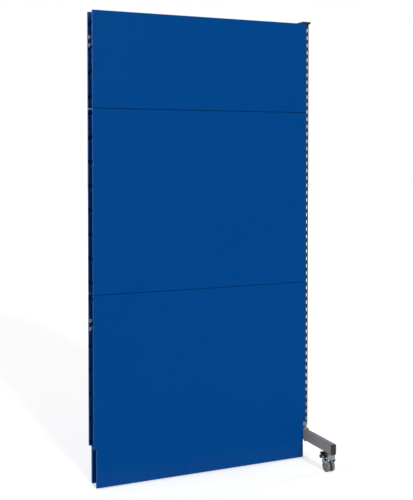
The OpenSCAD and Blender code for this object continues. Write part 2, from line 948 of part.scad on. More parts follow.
// Rocker pedal: a boss on the pin and an arm with two rounded, grooved treads
module brake_pedal(side) {
    upper = [61, 71.5];
    upper_r = 5;
    lower = [66, 55];
    lower_r = 7;
    groove_r = 0.9;
    color([0.09, 0.09, 0.11])
        at_castor(side)
            difference() {
                union() {
                    along_x(2 * pedal_half) {
                        translate([pin_y, pin_z])
                            circle(6.4);
                        translate([pin_y, pin_z - 6])
                            square([12, 12]);
                    }
                    along_x(2 * tread_half)
                        polygon([
                            [pin_y + 2, pin_z - 5.9], [pin_y + 2, pin_z + 5.9], [49, 68], [57, 74.4],
                            [63, 70], [60.5, 64.5], [65, 61], [66, 48.6], [58, 48], [45, 52.5]
                        ]);
                    along_x(2 * tread_half - 0.4)
                        translate(upper)
                            circle(upper_r);
                    along_x(2 * tread_half - 0.4)
                        translate(lower)
                            circle(lower_r);
                }
                for (a = [-20, 15, 50])
                    translate([0, lower[0] + lower_r * cos(a), lower[1] + lower_r * sin(a)])
                        rotate([0, 90, 0])
                            cylinder(r = groove_r, h = 60, center = true);
                for (a = [15, 50, 85])
                    translate([0, upper[0] + upper_r * cos(a), upper[1] + upper_r * sin(a)])
                        rotate([0, 90, 0])
                            cylinder(r = groove_r, h = 60, center = true);
                translate([0, pin_y, pin_z])
                    rotate([0, 90, 0])
                        cylinder(d = pin_d + 2 * run_gap, h = 3 * pedal_half, center = true);
            }
}

// Steel feet under the pedal, which press on both tyres
module brake_shoe(side) {
    color(zinc)
        at_castor(side)
            for (s = [-1, 1])
                translate([s * (shoe_in + shoe_out) / 2, 0, 0])
                    along_x(shoe_out - shoe_in)
                        difference() {
                            polygon([[32, 40], [38, 40], [38, 54.3 - run_gap], [32, 55.6 - run_gap]]);
                            translate([trail, axle_z])
                                circle(shoe_r);
                        }
}

module pedal_pin(side) {
    color(zinc)
        at_castor(side)
            translate([0, pin_y, pin_z])
                rotate([0, 90, 0])
                    cylinder(d = pin_d, h = 2 * skirt_out - 0.2, center = true);
}

upright_inner_channel();
upright_outer_channel();
upright_top_cap();
rail(upper_rail_slot);  // upper_cross_rail
rail(lower_rail_slot);  // lower_cross_rail
rail_hook(upper_rail_slot, left);  // upper_rail_left_hook
rail_hook(upper_rail_slot, right);  // upper_rail_right_hook
rail_hook(lower_rail_slot, left);  // lower_rail_left_hook
rail_hook(lower_rail_slot, right);  // lower_rail_right_hook
rail_rivets();
top_panel();  // front_top_panel
middle_panel();  // front_middle_panel
bottom_panel();  // front_bottom_panel
on_rear() top_panel();  // rear_top_panel
on_rear() middle_panel();  // rear_middle_panel
on_rear() bottom_panel();  // rear_bottom_panel
foot_tube();
foot_post();
foot_collar();
foot_bolts();
foot_nuts();
post_bolts();
post_nuts();
end_plug(front);  // front_end_plug
end_plug(rear);  // rear_end_plug
castor_nuts();
castor_stem(front);  // front_castor_stem
swivel_bearing(front);  // front_swivel_bearing
castor_housing(front);  // front_castor_housing
wheel_axle(front);  // front_wheel_axle
wheel_hub(front, left);  // front_left_hub
wheel_tyre(front, left);  // front_left_tyre
wheel_hub(front, right);  // front_right_hub
wheel_tyre(front, right);  // front_right_tyre
brake_pedal(front);  // front_brake_pedal
brake_shoe(front);  // front_brake_shoe
pedal_pin(front);  // front_pedal_pin
castor_stem(rear);  // rear_castor_stem
swivel_bearing(rear);  // rear_swivel_bearing
castor_housing(rear);  // rear_castor_housing
wheel_axle(rear);  // rear_wheel_axle
wheel_hub(rear, left);  // rear_left_hub
wheel_tyre(rear, left);  // rear_left_tyre
wheel_hub(rear, right);  // rear_right_hub
wheel_tyre(rear, right);  // rear_right_tyre
brake_pedal(rear);  // rear_brake_pedal
brake_shoe(rear);  // rear_brake_shoe
pedal_pin(rear);  // rear_pedal_pin
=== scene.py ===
import json
import math

import bmesh
import bpy
from mathutils import Matrix, Vector


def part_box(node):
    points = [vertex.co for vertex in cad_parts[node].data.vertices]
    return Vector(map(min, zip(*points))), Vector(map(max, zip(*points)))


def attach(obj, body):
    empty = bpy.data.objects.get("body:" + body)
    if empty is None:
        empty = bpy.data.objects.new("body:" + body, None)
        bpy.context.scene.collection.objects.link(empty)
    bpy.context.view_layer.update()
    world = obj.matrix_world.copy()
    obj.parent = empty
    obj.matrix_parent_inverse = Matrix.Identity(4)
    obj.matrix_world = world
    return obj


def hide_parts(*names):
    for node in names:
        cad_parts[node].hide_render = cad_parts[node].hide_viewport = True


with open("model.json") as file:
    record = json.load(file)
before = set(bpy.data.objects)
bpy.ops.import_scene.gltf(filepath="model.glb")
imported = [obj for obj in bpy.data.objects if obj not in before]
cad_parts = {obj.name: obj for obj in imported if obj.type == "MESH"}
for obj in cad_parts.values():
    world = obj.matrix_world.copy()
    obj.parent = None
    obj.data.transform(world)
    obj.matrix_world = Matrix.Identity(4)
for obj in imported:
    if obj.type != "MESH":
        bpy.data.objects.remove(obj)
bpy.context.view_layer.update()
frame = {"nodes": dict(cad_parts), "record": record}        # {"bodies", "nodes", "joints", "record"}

nodes = frame["nodes"]


# ---------------------------------------------------------------- colours

def srgb(red, green, blue):
    """A colour as it shows, 0 to 255, turned into the linear colour that a shader takes."""
    def linear(value):
        value /= 255
        return value / 12.92 if value <= 0.04045 else ((value + 0.055) / 1.055) ** 2.4
    return (linear(red), linear(green), linear(blue), 1)


PANEL_BLUE = srgb(0, 68, 136)
FRAME_GREY = srgb(124, 121, 122)
# The uprights' grey is the frame's grey darkened: painted shade from the panels' edges, which stand
# in front of them.
UPRIGHT_SHADED_GREY = srgb(42, 47, 55)
ZINC = srgb(188, 191, 196)
COLLAR_ZINC = srgb(130, 154, 166)
CAP_PLASTIC = srgb(36, 41, 50)
PLUG_PLASTIC = srgb(54, 51, 52)
HUB_PLASTIC = srgb(128, 129, 131)
TYRE_RUBBER = srgb(97, 98, 99)
PEDAL_BLACK = srgb(26, 27, 31)
DUST = srgb(168, 164, 158)
GRIME = srgb(74, 72, 70)
COLD_BLOOM = (0.84, 0.90, 1.0, 1)
WARM_BLOOM = (1.0, 0.97, 0.90, 1)


# ---------------------------------------------------------------- node helpers

FLOAT, COLOR, VECTOR = "NodeSocketFloat", "NodeSocketColor", "NodeSocketVector"
MID_GREY = (0.5, 0.5, 0.5, 1)


def new_group(name, sockets_in, sockets_out):
    """An empty node group with its named sockets: (name, kind, value) in, (name, kind) out."""
    tree = bpy.data.node_groups.new(name, "ShaderNodeTree")
    for socket_name, kind, value in sockets_in:
        socket = tree.interface.new_socket(socket_name, in_out="INPUT", socket_type=kind)
        socket.default_value = value
    for socket_name, kind in sockets_out:
        tree.interface.new_socket(socket_name, in_out="OUTPUT", socket_type=kind)
    return tree, tree.nodes.new("NodeGroupInput").outputs, tree.nodes.new("NodeGroupOutput").inputs


def feed(tree, socket, value):
    """Links a socket to another node's output, or gives it a plain value."""
    if isinstance(value, bpy.types.NodeSocket):
        tree.links.new(value, socket)
    else:
        socket.default_value = value


def add(tree, kind, **values):
    """Adds a node of the named kind. A keyword is an input's name, with _ for a space."""
    node = tree.nodes.new(kind)
    for name, value in values.items():
        feed(tree, node.inputs[name.replace("_", " ")], value)
    return node


def maths(tree, operation, *values):
    """The output of a Math node fed with these sockets or numbers."""
    node = tree.nodes.new("ShaderNodeMath")
    node.operation = operation
    for socket, value in zip(node.inputs, values):
        feed(tree, socket, value)
    return node.outputs[0]


def ramped(tree, value, low, high):
    """0 below low, 1 above high and a straight slope between."""
    return add(tree, "ShaderNodeMapRange", Value=value, From_Min=low, From_Max=high).outputs[0]


def blended(tree, share, under, over):
    """Two colours mixed by a mask. They are inputs 6 and 7 of a Mix node, and its output 2."""
    node = tree.nodes.new("ShaderNodeMix")
    node.data_type = "RGBA"
    feed(tree, node.inputs["Factor"], share)
    feed(tree, node.inputs[6], under)
    feed(tree, node.inputs[7], over)
    return node.outputs[2]


def vector_maths(tree, operation, *values):
    """A Vector Math node fed with these sockets or vectors."""
    node = tree.nodes.new("ShaderNodeVectorMath")
    node.operation = operation
    for socket, value in zip(node.inputs, values):
        feed(tree, socket, value)
    return node


def shaded(tree, colour, strength):
    """A colour made lighter or darker by a number."""
    node = vector_maths(tree, "SCALE", colour)
    feed(tree, node.inputs["Scale"], strength)
    return node.outputs[0]


def own_place(tree):
    """The X, Y and Z of the object's own coordinates."""
    node = tree.nodes.new("ShaderNodeSeparateXYZ")
    feed(tree, node.inputs[0], tree.nodes.new("ShaderNodeTexCoord").outputs["Object"])
    return node.outputs


def speckle(tree, size, detail=3.0, stretch=(1, 1, 1)):
    """Noise on the object's own coordinates, with spots of about the given size in metres."""
    where = tree.nodes.new("ShaderNodeTexCoord").outputs["Object"]
    if stretch != (1, 1, 1):
        where = add(tree, "ShaderNodeMapping", Vector=where, Scale=stretch).outputs[0]
    density = maths(tree, "DIVIDE", 1.0, size)
    return add(tree, "ShaderNodeTexNoise", Vector=where, Scale=density, Detail=detail,
               Roughness=0.5).outputs["Fac"]


# ---------------------------------------------------------------- shared effects of the finishes

CLOUD_SIZE = 0.14       # metres across a coat's clouds of lighter and darker tone
ROUGHNESS_SWING = 0.14  # how much a coat's roughness follows its tone
DUST_ROUGHNESS = 0.3    # how much rougher full dust makes a surface


def make_coat_grain():
    """Powder coat or moulded skin: a fine orange-peel height and a faint cloudiness of the tone."""
    tree, given, result = new_group(
        "coat_grain",
        [("Colour", COLOR, MID_GREY), ("Grain size", FLOAT, 0.0016), ("Cloudiness", FLOAT, 0.05),
         ("Gloss", FLOAT, 0.45)],
        [("Colour", COLOR), ("Roughness", FLOAT), ("Height", FLOAT)])
    peel = speckle(tree, given["Grain size"], 2.0)
    cloud = speckle(tree, CLOUD_SIZE)
    swing = maths(tree, "SUBTRACT", maths(tree, "ADD", cloud, peel), 1.0)
    tone = maths(tree, "MULTIPLY_ADD", swing, given["Cloudiness"], 1.0)
    feed(tree, result["Colour"], shaded(tree, given["Colour"], tone))
    feed(tree, result["Roughness"],
         maths(tree, "MULTIPLY_ADD", swing, ROUGHNESS_SWING, given["Gloss"]))
    feed(tree, result["Height"], peel)
    return tree


def make_zinc_bloom():
    """Zinc plate: patches of light and shade with a cold and a warm bloom, and fine drawn lines."""
    tree, given, result = new_group(
        "zinc_bloom",
        [("Colour", COLOR, MID_GREY), ("Patch size", FLOAT, 0.006), ("Patchiness", FLOAT, 0.4),
         ("Gloss", FLOAT, 0.3)],
        [("Colour", COLOR), ("Roughness", FLOAT), ("Height", FLOAT)])
    patch = speckle(tree, given["Patch size"], 4.0)
    bloom = blended(tree, ramped(tree, patch, 0.35, 0.65), COLD_BLOOM, WARM_BLOOM)
    swing = maths(tree, "SUBTRACT", patch, 0.5)
    tone = maths(tree, "MULTIPLY_ADD", swing, given["Patchiness"], 1.0)
    tinted = vector_maths(tree, "MULTIPLY", shaded(tree, given["Colour"], tone), bloom)
    feed(tree, result["Colour"], tinted.outputs[0])
    feed(tree, result["Roughness"], maths(tree, "MULTIPLY_ADD", patch, 0.2, given["Gloss"]))
    feed(tree, result["Height"], speckle(tree, 0.0004, 1.0, (1, 1, 0.08)))
    return tree


def make_soft_edges():
    """Rounds every sharp edge in the light, and lightens the colour along it in places: wear on most
    finishes, a painted highlight on the blue coat.
    """
    tree, given, result = new_group(
        "soft_edges",
        [("Colour", COLOR, MID_GREY), ("Wear and highlight colour", COLOR, MID_GREY),
         ("Edge radius", FLOAT, 0.0008), ("Breakup size", FLOAT, 0.01), ("Amount", FLOAT, 0.3)],
        [("Colour", COLOR), ("Edge wear and highlight", FLOAT), ("Normal", VECTOR)])
    round_off = add(tree, "ShaderNodeBevel", Radius=given["Edge radius"]).outputs[0]
    flat = tree.nodes.new("ShaderNodeNewGeometry").outputs["Normal"]
    turn = vector_maths(tree, "DOT_PRODUCT", round_off, flat)
    edge = ramped(tree, maths(tree, "SUBTRACT", 1.0, turn.outputs["Value"]), 0.02, 0.16)
    broken = ramped(tree, speckle(tree, given["Breakup size"]), 0.42, 0.62)
    # Lighter colour along the edges: wear, and on the blue coat a painted highlight.
    edge_wear_and_highlight = maths(tree, "MULTIPLY", maths(tree, "MULTIPLY", edge, broken), given["Amount"])
    feed(tree, result["Colour"], blended(tree, edge_wear_and_highlight, given["Colour"], given["Wear and highlight colour"]))
    feed(tree, result["Edge wear and highlight"], edge_wear_and_highlight)
    feed(tree, result["Normal"], round_off)
    return tree


def make_floor_dust():
    """Pale dust that thins out with the height above the floor."""
    tree, given, result = new_group(
        "floor_dust",
        [("Colour", COLOR, MID_GREY), ("Dust colour", COLOR, MID_GREY),
         ("Height", FLOAT, 0.1), ("Amount", FLOAT, 0.2)],
        [("Colour", COLOR), ("Dusty", FLOAT)])
    rise = maths(tree, "DIVIDE", own_place(tree)["Z"], given["Height"])
    near = maths(tree, "MAXIMUM", maths(tree, "SUBTRACT", 1.0, rise), 0.0)
    drift = ramped(tree, speckle(tree, 0.018, 4.0), 0.3, 0.7)
    dusty = maths(tree, "MULTIPLY", maths(tree, "MULTIPLY", near, drift), given["Amount"])
    feed(tree, result["Colour"], blended(tree, dusty, given["Colour"], given["Dust colour"]))
    feed(tree, result["Dusty"], dusty)
    return tree


def make_tread_dust():
    """Dust that a turning wheel picks up: a ring, denser from its inner to its outer radius."""
    tree, given, result = new_group(
        "tread_dust",
        [("Colour", COLOR, MID_GREY), ("Dust colour", COLOR, MID_GREY),
         ("Axle distance", FLOAT, 0.24), ("Axle height", FLOAT, 0.025),
         ("Inner radius", FLOAT, 0.02), ("Outer radius", FLOAT, 0.025), ("Amount", FLOAT, 0.4)],
        [("Colour", COLOR), ("Dusty", FLOAT)])
    place = own_place(tree)
    along = maths(tree, "SUBTRACT", maths(tree, "ABSOLUTE", place["Y"]), given["Axle distance"])
    up = maths(tree, "SUBTRACT", place["Z"], given["Axle height"])
    radius = maths(tree, "SQRT", maths(tree, "ADD", maths(tree, "MULTIPLY", along, along),
                                       maths(tree, "MULTIPLY", up, up)))
    ring = ramped(tree, radius, given["Inner radius"], given["Outer radius"])
    smear = ramped(tree, speckle(tree, 0.004, 4.0), 0.3, 0.65)
    dusty = maths(tree, "MULTIPLY", maths(tree, "MULTIPLY", ring, smear), given["Amount"])
    feed(tree, result["Colour"], blended(tree, dusty, given["Colour"], given["Dust colour"]))
    feed(tree, result["Dusty"], dusty)
    return tree


COAT_GRAIN = make_coat_grain()
ZINC_BLOOM = make_zinc_bloom()
SOFT_EDGES = make_soft_edges()
FLOOR_DUST = make_floor_dust()
TREAD_DUST = make_tread_dust()


# ---------------------------------------------------------------- finishes

def placed(tree, group, values, colour=None):
    """A group in a material, with the material's own values."""
    node = tree.nodes.new("ShaderNodeGroup")
    node.node_tree = group
    for socket, value in values.items():
        feed(tree, node.inputs[socket], value)
    if colour is not None:
        feed(tree, node.inputs["Colour"], colour)
    return node.outputs


def new_finish(name):
    """A material, its node tree and its Principled shader."""
    made = bpy.data.materials.new(name)
    made.use_nodes = True
    return made, made.node_tree, made.node_tree.nodes["Principled BSDF"]


def layered_finish(name, skin, skin_values, edge_values, relief, dust=None, dust_values=None,
                   **shader):
    """A skin with soft edges over it and dust on top. relief is the bump's strength and depth."""
    made, tree, bsdf = new_finish(name)
    base = placed(tree, skin, skin_values)
    edges = placed(tree, SOFT_EDGES, edge_values, base["Colour"])
    colour, rough = edges["Colour"], base["Roughness"]
    if dust:
        settled = placed(tree, dust, dust_values, colour)
        colour = settled["Colour"]
        rough = maths(tree, "MULTIPLY_ADD", settled["Dusty"], DUST_ROUGHNESS, rough)
    bump = add(tree, "ShaderNodeBump", Strength=relief[0], Distance=relief[1],
               Height=base["Height"], Normal=edges["Normal"])
    feed(tree, bsdf.inputs["Base Color"], colour)
    feed(tree, bsdf.inputs["Roughness"], rough)
    feed(tree, bsdf.inputs["Normal"], bump.outputs[0])
    for socket, value in shader.items():
        bsdf.inputs[socket.replace("_", " ")].default_value = value
    return made


# The panels' blue is lightened along their sharp edges: a painted highlight where the folds catch
# the light, which also eases the dark seams.
blue_coat = layered_finish(
    "blue_powder_coat", COAT_GRAIN,
    {"Colour": PANEL_BLUE, "Grain size": 0.0018, "Cloudiness": 0.045, "Gloss": 0.36},
    {"Wear and highlight colour": srgb(30, 98, 164), "Edge radius": 0.0014, "Breakup size": 0.03,
     "Amount": 0.6},
    (0.25, 0.0003), FLOOR_DUST,
    {"Dust colour": DUST, "Height": 0.1, "Amount": 0.02}, Specular_IOR_Level=0.02)
grey_coat = layered_finish(
    "grey_powder_coat", COAT_GRAIN,
    {"Colour": FRAME_GREY, "Grain size": 0.0014, "Cloudiness": 0.08, "Gloss": 0.45},
    {"Wear and highlight colour": srgb(160, 160, 162), "Edge radius": 0.0008, "Breakup size": 0.012,
     "Amount": 0.4},
    (0.3, 0.0003), FLOOR_DUST,
    {"Dust colour": DUST, "Height": 0.16, "Amount": 0.08}, Specular_IOR_Level=0.1)
# The frame's grey coat darkened for the uprights: painted shade from the panels in front of them.
upright_shaded_coat = layered_finish(
    "upright_painted_shade_coat", COAT_GRAIN,
    {"Colour": UPRIGHT_SHADED_GREY, "Grain size": 0.0014, "Cloudiness": 0.08, "Gloss": 0.5},
    {"Wear and highlight colour": srgb(96, 100, 106), "Edge radius": 0.0005, "Breakup size": 0.012,
     "Amount": 0.4},
    (0.3, 0.0003), Specular_IOR_Level=0.2)
cap_plastic = layered_finish(
    "cap_plastic", COAT_GRAIN,
    {"Colour": CAP_PLASTIC, "Grain size": 0.0007, "Cloudiness": 0.12, "Gloss": 0.6},
    {"Wear and highlight colour": srgb(84, 86, 92), "Edge radius": 0.0008, "Breakup size": 0.006,
     "Amount": 0.3},
    (0.4, 0.0002), Specular_IOR_Level=0.1)
plug_plastic = layered_finish(
    "plug_plastic", COAT_GRAIN,
    {"Colour": PLUG_PLASTIC, "Grain size": 0.0007, "Cloudiness": 0.12, "Gloss": 0.5},
    {"Wear and highlight colour": srgb(92, 90, 90), "Edge radius": 0.0006, "Breakup size": 0.005,
     "Amount": 0.4},
    (0.4, 0.0002), Specular_IOR_Level=0.2)
hub_plastic = layered_finish(
    "hub_plastic", COAT_GRAIN,
    {"Colour": HUB_PLASTIC, "Grain size": 0.0009, "Cloudiness": 0.08, "Gloss": 0.4},
    {"Wear and highlight colour": srgb(150, 150, 150), "Edge radius": 0.0005, "Breakup size": 0.004,
     "Amount": 0.3},
    (0.25, 0.0002), TREAD_DUST,
    {"Dust colour": GRIME, "Inner radius": 0.009, "Outer radius": 0.019, "Amount": 0.5},
    Specular_IOR_Level=0.4)
tyre_rubber = layered_finish(
    "tyre_rubber", COAT_GRAIN,
    {"Colour": TYRE_RUBBER, "Grain size": 0.0011, "Cloudiness": 0.2, "Gloss": 0.62},
    {"Wear and highlight colour": srgb(126, 126, 124), "Edge radius": 0.0004, "Breakup size": 0.004,
     "Amount": 0.3},
    (0.4, 0.0003), TREAD_DUST,
    {"Dust colour": DUST, "Inner radius": 0.0225, "Outer radius": 0.0249, "Amount": 0.3},
    Specular_IOR_Level=0.3)
pedal_plastic = layered_finish(
    "pedal_plastic", COAT_GRAIN,
    {"Colour": PEDAL_BLACK, "Grain size": 0.0008, "Cloudiness": 0.2, "Gloss": 0.42},
    {"Wear and highlight colour": srgb(92, 94, 98), "Edge radius": 0.0006, "Breakup size": 0.003,
     "Amount": 0.6},
    (0.3, 0.0002), Specular_IOR_Level=0.4)
zinc_plate = layered_finish(
    "zinc_plate", ZINC_BLOOM,
    {"Colour": ZINC, "Patch size": 0.006, "Patchiness": 0.5, "Gloss": 0.12},
    {"Wear and highlight colour": srgb(214, 215, 216), "Edge radius": 0.0005, "Breakup size": 0.005,
     "Amount": 0.5},
    (0.15, 0.0001), FLOOR_DUST,
    {"Dust colour": GRIME, "Height": 0.1, "Amount": 0.35}, Metallic=1.0)
collar_zinc = layered_finish(
    "collar_zinc", ZINC_BLOOM,
    {"Colour": COLLAR_ZINC, "Patch size": 0.02, "Patchiness": 0.9, "Gloss": 0.2},
    {"Wear and highlight colour": srgb(206, 210, 214), "Edge radius": 0.0006, "Breakup size": 0.006,
     "Amount": 0.5},
    (0.15, 0.0001), Metallic=1.0)

FINISHES = {
    "blue_powder_coat": blue_coat,
    "grey_powder_coat": grey_coat,
    "zinc_plate": zinc_plate,
    "dark_plastic": cap_plastic,
    "wheel_plastic": hub_plastic,
    "grey_rubber": tyre_rubber,
    "pedal_plastic": pedal_plastic,
}
OWN_FINISHES = {
    # The uprights take the darkened coat, which carries painted shade.
    "upright_inner_channel": upright_shaded_coat,
    "upright_outer_channel": upright_shaded_coat,
    "front_end_plug": plug_plastic,
    "rear_end_plug": plug_plastic,
    "foot_collar": collar_zinc,
}
for row in frame["record"]["subparts"]:
    name = row["node"]
    mesh = nodes[name].data
    mesh.materials.clear()
    mesh.materials.append(OWN_FINISHES.get(name, FINISHES[row["material_slot"]]))


# ---------------------------------------------------------------- shaping helpers

MERGE = 0.000002        # points closer than this are one
SHARP_ANGLE = math.radians(32)
ROUND_STEPS = 32        # steps of a bolt's or an axle's turn
THREAD_STEPS = 24       # steps of a thread's turn
SIDE_CUTS = 5           # points added to each side of a hexagon
FIRST_INSET = 0.0002    # any small width does, because the new points then move onto a circle
TURNED_SHARE = 0.475    # radius of a hexagon's turned end, as a share of its width across flats
CHAMFER = math.radians(30)
SINK_WIDTH, SINK_DEPTH = 0.0005, 0.0004     # the countersink of a nut's bore


def points_in(parts):
    """The points among some parts of a mesh."""
    return [part for part in parts if isinstance(part, bmesh.types.BMVert)]


def spun(bm, outline):
    """Spins an outline of (radius, height) points once round Z."""
    points = [bm.verts.new((radius, 0, height)) for radius, height in outline]
    lines = [bm.edges.new(pair) for pair in zip(points, points[1:])]
    bmesh.ops.spin(bm, geom=points + lines, cent=(0, 0, 0), axis=(0, 0, 1), dvec=(0, 0, 0),
                   angle=math.tau, steps=ROUND_STEPS, use_merge=True)


def wound_thread(bm, core, crest, pitch, low, turns):
    """A screw thread: one tooth wound round the core from the height low upwards."""
    tooth = bm.faces.new([bm.verts.new((radius, 0, low + share * pitch)) for radius, share in (
        (core, 0.0), (crest, 0.38), (crest, 0.5), (core, 0.88))])
    bmesh.ops.spin(bm, geom=[tooth] + tooth.edges[:] + tooth.verts[:], cent=(0, 0, 0),
                   axis=(0, 0, 1), dvec=(0, 0, pitch / THREAD_STEPS), angle=math.tau * turns,
                   steps=THREAD_STEPS * turns)


def rounded_inset(bm, face, radius):
    """Insets a face and brings its inner outline onto a circle round Z."""
    bmesh.ops.inset_region(bm, faces=[face], thickness=FIRST_INSET, use_even_offset=True)
    for point in face.verts:
        spread = radius / math.hypot(point.co.x, point.co.y)
        point.co.x *= spread
        point.co.y *= spread


def chamfered_hexagon(bm, flats, low, high, bore=0.0):
    """A hexagon of a width across flats, its corners turned off at both ends. A nut has a bore."""
    before = set(bm.verts)
    turned = TURNED_SHARE * flats
    bmesh.ops.create_circle(
        bm, cap_ends=True, segments=6, radius=flats / math.sqrt(3),
        matrix=Matrix.Translation((0, 0, low)) @ Matrix.Rotation(math.pi / 2, 4, "Z"))
    foot = next(face for face in bm.faces if not before & set(face.verts))
    bmesh.ops.subdivide_edges(bm, edges=foot.edges[:], cuts=SIDE_CUTS)
    foot = next(face for face in bm.faces if not before & set(face.verts))
    grown = bmesh.ops.extrude_face_region(bm, geom=[foot])["geom"]
    bmesh.ops.translate(bm, vec=(0, 0, high - low), verts=points_in(grown))
    head = next(item for item in grown if isinstance(item, bmesh.types.BMFace))
    sides = [point for point in bm.verts if point not in before]
    for end in (foot, head):
        rounded_inset(bm, end, turned)
    for point in sides:
        drop = (math.hypot(point.co.x, point.co.y) - turned) * math.tan(CHAMFER)
        point.co.z += drop if point.co.z < (low + high) / 2 else -drop
    if bore:
        rims = []
        for end in (foot, head):
            rounded_inset(bm, end, bore + SINK_WIDTH)
            rounded_inset(bm, end, bore)
            for point in end.verts:
                point.co.z += SINK_DEPTH if point.co.z < (low + high) / 2 else -SINK_DEPTH
            rims += end.edges[:]
        bmesh.ops.delete(bm, geom=[foot, head], context="FACES_ONLY")
        bmesh.ops.bridge_loops(bm, edges=rims)


def copied(bm, places):
    """Repeats the whole mesh at each place and drops the first one."""
    first = bm.verts[:] + bm.edges[:] + bm.faces[:]
    for place in places:
        again = bmesh.ops.duplicate(bm, geom=first)["geom"]
        bmesh.ops.transform(bm, matrix=place, verts=points_in(again))
    bmesh.ops.delete(bm, geom=points_in(first), context="VERTS")


def put_in_order(bm):
    """Orders the points by where they are and the faces by their points, alike in every run."""
    for rank, point in enumerate(sorted(bm.verts, key=lambda point: point.co[:])):
        point.index = rank
    bm.verts.sort()
    for rank, face in enumerate(sorted(
            bm.faces, key=lambda face: sorted(point.index for point in face.verts))):
        face.index = rank
    bm.faces.sort()


def finished(name, bm, body, slot, *stands_for):
    """Turns a mesh into a piece on its body, with its finish and any node that it stands for."""
    bmesh.ops.remove_doubles(bm, verts=bm.verts[:], dist=MERGE)
    bmesh.ops.recalc_face_normals(bm, faces=bm.faces[:])
    put_in_order(bm)
    mesh = bpy.data.meshes.new(name)
    bm.to_mesh(mesh)
    bm.free()
    mesh.materials.append(FINISHES[slot])
    mesh.shade_smooth()
    mesh.set_sharp_from_angle(angle=SHARP_ANGLE)
    piece = bpy.data.objects.new(name, mesh)
    bpy.context.scene.collection.objects.link(piece)
    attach(piece, body)
    if stands_for:
        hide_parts(*stands_for)


def middle(node):
    """The middle of a CAD node's box at rest."""
    low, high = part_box(node)
    return (Vector(low) + Vector(high)) / 2


# ---------------------------------------------------------------- bolts and welds of the foot

FOOT_X = middle("foot_tube").x
BOLT_END, HEAD_TOP = (corner[2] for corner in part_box("foot_bolts"))
NUT_BOTTOM, NUT_TOP = (corner[2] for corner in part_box("foot_nuts"))
BOLT_OUT = 0.036        # from the foot's middle to each foot bolt
HEX_FLATS, HEAD_HEIGHT, NUT_BORE = 0.013, 0.0053, 0.00405
BASE_TOP = HEAD_TOP - HEAD_HEIGHT           # upper face of the base plate
BOLT_RADIUS, THREAD_CORE, THREAD_PITCH = 0.004, 0.0033, 0.00125
THREAD_START, THREAD_TURNS = 0.0009, 10     # the start is that far above the bolt's end
# A bolt's shank as (radius, height above its chamfered end), and how far it runs into its head
SHANK_OUTLINE = [(0, 0), (0.0026, 0), (0.00335, 0.0008), (0.00335, 0.014), (BOLT_RADIUS, 0.0147)]
SHANK_IN_HEAD = 0.0002


def foot_bolt_places():
    """Where the two foot bolts stand, on either side of the upright."""
    return [Matrix.Translation((FOOT_X, side * BOLT_OUT, 0)) for side in (-1, 1)]


def make_foot_bolts():
    """Hexagon bolts through the base plate and the foot tube, with their threads out below."""
    bm = bmesh.new()
    chamfered_hexagon(bm, HEX_FLATS, BASE_TOP, HEAD_TOP)
    shank_top = BASE_TOP + SHANK_IN_HEAD
    spun(bm, [(radius, BOLT_END + rise) for radius, rise in SHANK_OUTLINE]
         + [(BOLT_RADIUS, shank_top), (0, shank_top)])
    wound_thread(bm, THREAD_CORE, BOLT_RADIUS, THREAD_PITCH, BOLT_END + THREAD_START,
                 THREAD_TURNS)
    copied(bm, foot_bolt_places())
    finished("threaded_foot_bolts", bm, "frame", "zinc_plate", "foot_bolts")


def make_foot_nuts():
    """Nuts under the foot tube."""
    bm = bmesh.new()
    chamfered_hexagon(bm, HEX_FLATS, NUT_BOTTOM, NUT_TOP, bore=NUT_BORE)
    copied(bm, foot_bolt_places())
    finished("chamfered_foot_nuts", bm, "frame", "zinc_plate", "foot_nuts")


WELD_LEG = 0.0033       # width of a weld on each of its two walls
WELD_SUNK = -0.0003     # how far a weld's hidden corner lies inside its walls
WELD_BULGE = 0.3        # how much further a weld's face stands out halfway between its walls
WELD_TIP = 0.0002       # a weld ends as thick as it would be this far in from a sharp tip
WELD_RIPPLE = 0.0016    # from one scale of a weld to the next
SCALE_BOW, SCALE_DEPTH = 0.4, 0.12          # how far the scales bow out, and how deep they are
RINGS_PER_RIPPLE = 4
FACE_STEP = 15          # degrees from one point of a weld's face to the next
WELD_ACROSS, WELD_ALONG = 0.0108, 0.0205    # half lengths of the welds
BLOCK_HALF_DEPTH, PLATE_HALF_WIDTH = 0.023, 0.0125


def weld_bead(bm, start, end, first, second):
    """A rippled fillet weld in the corner from start to end. first and second run up its walls."""
    length = (end - start).length
    rings = []
    for step in range(1 + RINGS_PER_RIPPLE * round(length / WELD_RIPPLE)):
        done = min(step * WELD_RIPPLE / RINGS_PER_RIPPLE, length)
        near = min(1.0, (min(done, length - done) + WELD_TIP) / WELD_LEG)
        swell = WELD_LEG * math.sqrt(1 - (1 - near) ** 2)
        ring = [(WELD_SUNK, WELD_SUNK), (swell, WELD_SUNK)]
        for degrees in range(0, 91, FACE_STEP):
            turn = math.radians(degrees)
            bulge = math.sin(2 * turn)
            scale = (done / WELD_RIPPLE + SCALE_BOW * bulge) % 1.0
            reach = swell * (1 + WELD_BULGE * bulge) * (1 + SCALE_DEPTH * bulge * (scale - 0.5))
            reach /= math.cos(turn) + math.sin(turn)
            ring.append((reach * math.cos(turn), reach * math.sin(turn)))
        ring.append((WELD_SUNK, swell))
        where = start.lerp(end, done / length)
        rings.append([bm.verts.new(where + across * first + up * second) for across, up in ring])
    for one, two in zip(rings, rings[1:]):
        for at in range(len(one)):
            bm.faces.new((one[at - 1], one[at], two[at], two[at - 1]))
    bm.faces.new(rings[0])
    bm.faces.new(rings[-1])


